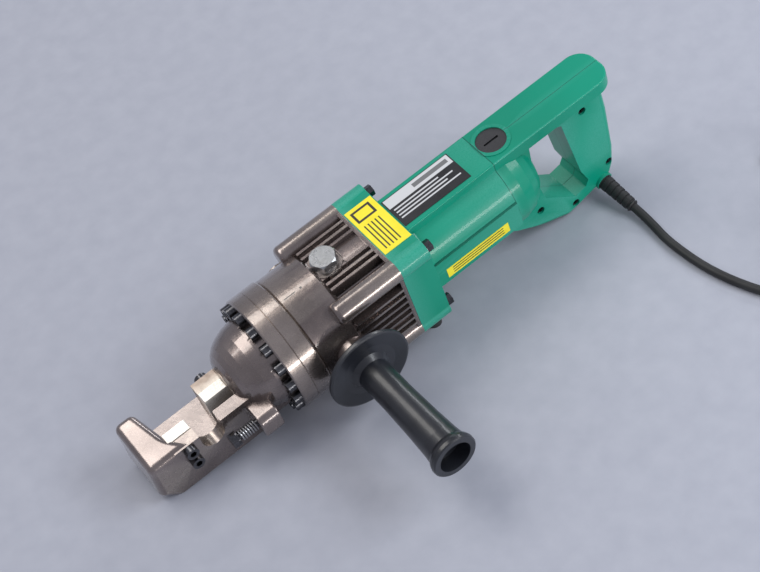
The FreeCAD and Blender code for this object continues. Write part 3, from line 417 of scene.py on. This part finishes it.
def yellow_label():
    """Printed film: an empty square and plain bars, with no lettering."""
    paint = Paint("yellow_label")
    x, y, z = paint.tool_place()
    base = paint.ramp(paint.noise(120.0, 3.0), [(0.3, (0.88, 0.74, 0.015)), (0.7, (0.95, 0.84, 0.040))])
    bars = [paint.box([(x, low, low + 1.1), (y, -22.0, 6.0), (z, 30.0, 60.0)])
            for low in (102.0, 105.2, 108.4, 111.6, 114.8)]
    outer = paint.box([(x, 101.0, 118.0), (y, 10.5, 22.5), (z, 30.0, 60.0)])
    inner = paint.box([(x, 103.0, 116.0), (y, 12.5, 20.5), (z, 30.0, 60.0)])
    frame_mark = paint.math("SUBTRACT", outer, inner)
    side_bars = [paint.box([(z, low, low + 1.0), (x, 138.0, 186.0), (y, -60.0, -30.0)])
                 for low in (-8.2, -5.6, -3.0)]
    paint.colour(paint.mix(paint.either(bars + side_bars + [frame_mark]), base, (0.03, 0.025, 0.02)))
    paint.roughness(paint.noise(90.0, 2.0), 0.32, 0.45)
    paint.bump(paint.noise(500.0, 2.0), 0.00005, 0.5)
    return paint.material


def black_label():
    """Printed plate: a pale strip, a dark panel and plain pale bars, with no lettering."""
    paint = Paint("black_label")
    x, y, z = paint.tool_place()
    base = paint.ramp(paint.noise(90.0, 3.0), [(0.3, (0.006, 0.006, 0.007)), (0.7, (0.014, 0.014, 0.016))])
    strip = paint.box([(y, 5.2, 14.6), (x, 125.2, 184.6)])
    bars = [paint.box([(y, low, low + 1.3), (x, 127.0, end)])
            for low, end in ((1.6, 168.0), (-1.6, 179.0), (-4.8, 172.0), (-8.0, 182.0))]
    patch = paint.box([(y, 8.0, 12.0), (x, 150.0, 182.0)])
    print_mask = paint.math("SUBTRACT", paint.either([strip] + bars), paint.math("MULTIPLY", patch, 0.75))
    paint.colour(paint.mix(print_mask, base, (0.62, 0.63, 0.64)))
    paint.roughness(paint.noise(70.0, 2.0), 0.25, 0.38)
    paint.coat(0.4, 0.1)
    return paint.material


def make_materials():
    black_steel = metal("black_screws", (0.020, 0.020, 0.023), (0.070, 0.070, 0.078), 0.24, 700.0)
    zinc = metal("zinc", (0.46, 0.44, 0.39), (0.62, 0.60, 0.54), 0.30, 600.0)
    bright_zinc = metal("bright_zinc", (0.27, 0.28, 0.28), (0.40, 0.41, 0.42), 0.28, 500.0)
    ground = metal("ground_steel", (0.50, 0.50, 0.50), (0.66, 0.66, 0.66), 0.26, 800.0, (0.1, 1.0, 1.0))
    spring = metal("spring_steel", (0.22, 0.22, 0.23), (0.40, 0.40, 0.41), 0.30, 900.0)
    stack = metal("laminations", (0.10, 0.10, 0.11), (0.26, 0.26, 0.27), 0.45, 1800.0, (1.0, 0.02, 0.02))
    copper = metal("copper_wire", (0.42, 0.16, 0.07), (0.62, 0.28, 0.12), 0.35, 1500.0)
    brass = metal("brass", (0.52, 0.38, 0.16), (0.68, 0.52, 0.24), 0.28, 700.0)
    nylon = moulded("black_nylon", (0.010, 0.010, 0.011), (0.022, 0.022, 0.024), 0.5)
    rubber = moulded("black_rubber", (0.008, 0.008, 0.009), (0.018, 0.018, 0.019), 0.55, 1100.0)
    by_slot = {
        "cast_bronze_paint": head_enamel(),
        "case_bronze_paint": case_enamel(),
        "black_screws": black_steel,
        "zinc_screws": zinc,
        "zinc_plug": bright_zinc,
        "cutter_steel": cutter_steel(),
        "ground_steel": ground,
        "spring_steel": spring,
        "laminations": stack,
        "copper_wire": copper,
        "brass_holder": brass,
        "carbon": moulded("carbon", (0.015, 0.015, 0.015), (0.035, 0.035, 0.035), 0.6),
        "seal_rubber": moulded("seal_rubber", (0.012, 0.012, 0.012), (0.025, 0.025, 0.025), 0.5),
        "black_rubber": rubber,
        "black_nylon": nylon,
        "green_shell": green_plastic("green_handle", handle_seams),
        "trigger_plastic": moulded("trigger_plastic", (0.018, 0.010, 0.008), (0.040, 0.024, 0.018), 0.35,
                                   coat=0.3),
        "cap_plastic": moulded("cap_plastic", (0.010, 0.010, 0.011), (0.022, 0.022, 0.024), 0.35,
                               coat=0.3),
        "handle_plastic": moulded("handle_plastic", (0.006, 0.007, 0.010), (0.013, 0.015, 0.021), 0.36,
                                  coat=0.3),
        "yellow_label": yellow_label(),
        "black_label": black_label(),
    }
    by_node = {
        "cylinder": cylinder_enamel(),
        "ram": ram_steel(),
        "motor_housing": green_plastic("green_housing", housing_seams),
    }
    return by_slot, by_node


# ---- carried-over CAD nodes ------------------------------------------------------------------

BEVELS = {"head_casting": 0.0009, "cylinder": 0.0005, "pump_case": 0.0005, "motor_housing": 0.0006,
          "handle_near_shell": 0.0007, "handle_far_shell": 0.0007, "fixed_cutter_block": 0.0003,
          "moving_cutter_block": 0.0003, "ram": 0.0003, "head_bolts": 0.0003, "fill_plug": 0.0003,
          "stop_bolt": 0.0003, "case_bolts": 0.0003, "brush_caps": 0.0003, "fixed_block_screws": 0.0003,
          "moving_block_screws": 0.0003, "plug_body": 0.0005, "trigger": 0.0003}


def dress_nodes(by_slot, by_node):
    for entry in frame["record"]["subparts"]:
        node = entry["node"]
        piece = NODES[node]
        material = by_node.get(node, by_slot[entry["material_slot"]])
        if not piece.material_slots:
            piece.data.materials.append(material)
        for place in piece.material_slots:
            place.material = material
        if node in BEVELS:
            soft = piece.modifiers.new("soft_edges", "BEVEL")
            soft.width = BEVELS[node]
            soft.segments = 2
            soft.limit_method = "ANGLE"
            soft.angle_limit = math.radians(40.0)
            soft.use_clamp_overlap = True


# ---- return spring ---------------------------------------------------------------------------

def make_return_spring(material):
    """A coil of round wire round the rod, between its ends along the tool's axis."""
    steps = SPRING_TURNS * 24
    sides = 8
    shape = bmesh.new()
    rings = []
    for i in range(steps + 1):
        angle = 2 * math.pi * SPRING_TURNS * i / steps
        x = SPRING_X0 + (SPRING_X1 - SPRING_X0) * i / steps
        ring = []
        for k in range(sides):
            around = 2 * math.pi * k / sides
            radius = SPRING_MEAN_R + SPRING_WIRE_R * math.cos(around)
            along = x + SPRING_WIRE_R * math.sin(around)
            point = Vector((along, radius * math.cos(angle), radius * math.sin(angle)))
            ring.append(shape.verts.new(floor_from_tool(point)))
        rings.append(ring)
    for first, second in zip(rings, rings[1:]):
        for k in range(sides):
            face = (first[k], first[(k + 1) % sides], second[(k + 1) % sides], second[k])
            shape.faces.new(face).smooth = True
    shape.faces.new(rings[0])
    shape.faces.new(rings[-1])
    bmesh.ops.recalc_face_normals(shape, faces=shape.faces)
    mesh = bpy.data.meshes.new("ram_return_spring")
    shape.to_mesh(mesh)
    shape.free()
    mesh.materials.append(material)
    spring = bpy.data.objects.new("ram_return_spring", mesh)
    bpy.context.scene.collection.objects.link(spring)
    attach(spring, "housing")
    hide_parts("return_spring")
    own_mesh(spring)


# ---- mains lead ------------------------------------------------------------------------------

def guard_end():
    return floor_from_tool(GUARD_BASE + GUARD_WAY * GUARD_LENGTH)


def coil_points():
    """The turns: a flat spiral inwards on the floor, and a second one outwards on top of it."""
    points = []
    count = round(COIL_TURNS * COIL_POINTS_PER_TURN)
    start = TAIL_ANGLE - 2 * math.pi * COIL_TURNS
    for i in range(count + 1):
        turns = COIL_TURNS * i / count
        middle = COIL_TURNS / 2
        radius = COIL_OUTER_TURN_R - 2 * CORD_R * (middle - abs(turns - middle))
        climb = min(1.0, max(0.0, (turns - middle) / 0.2 + 0.5))
        angle = start + 2 * math.pi * turns
        points.append(COIL_CENTRE + Vector((radius * math.cos(angle), radius * math.sin(angle),
                                            FLOOR_Z + 2 * CORD_R * climb)))
    return points


def make_cord(material):
    way = Vector((-math.sin(TAIL_ANGLE), math.cos(TAIL_ANGLE), 0.0))
    points = [guard_end()] + [Vector(p) for p in CORD_ROUTE] + coil_points()
    points += [points[-1] + way * TAIL_LENGTH * 0.5, points[-1] + way * TAIL_LENGTH]
    curve = bpy.data.curves.new("mains_lead", "CURVE")
    curve.dimensions = "3D"
    curve.bevel_depth = CORD_R
    curve.bevel_resolution = 6
    curve.resolution_u = 6
    spline = curve.splines.new("NURBS")
    spline.points.add(len(points) - 1)
    for control, point in zip(spline.points, points):
        control.co = (*point, 1.0)
    spline.order_u = 3
    spline.use_endpoint_u = True
    curve.materials.append(material)
    lead = bpy.data.objects.new("mains_lead", curve)
    bpy.context.scene.collection.objects.link(lead)
    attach(lead, "housing")
    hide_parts("cord", "cord_coil")


bpy.context.scene.view_settings.view_transform = "Standard"
make_camera()
by_slot, by_node = make_materials()
make_floor()
make_light()
dress_nodes(by_slot, by_node)
make_return_spring(by_slot["spring_steel"])
make_cord(by_slot["black_rubber"])
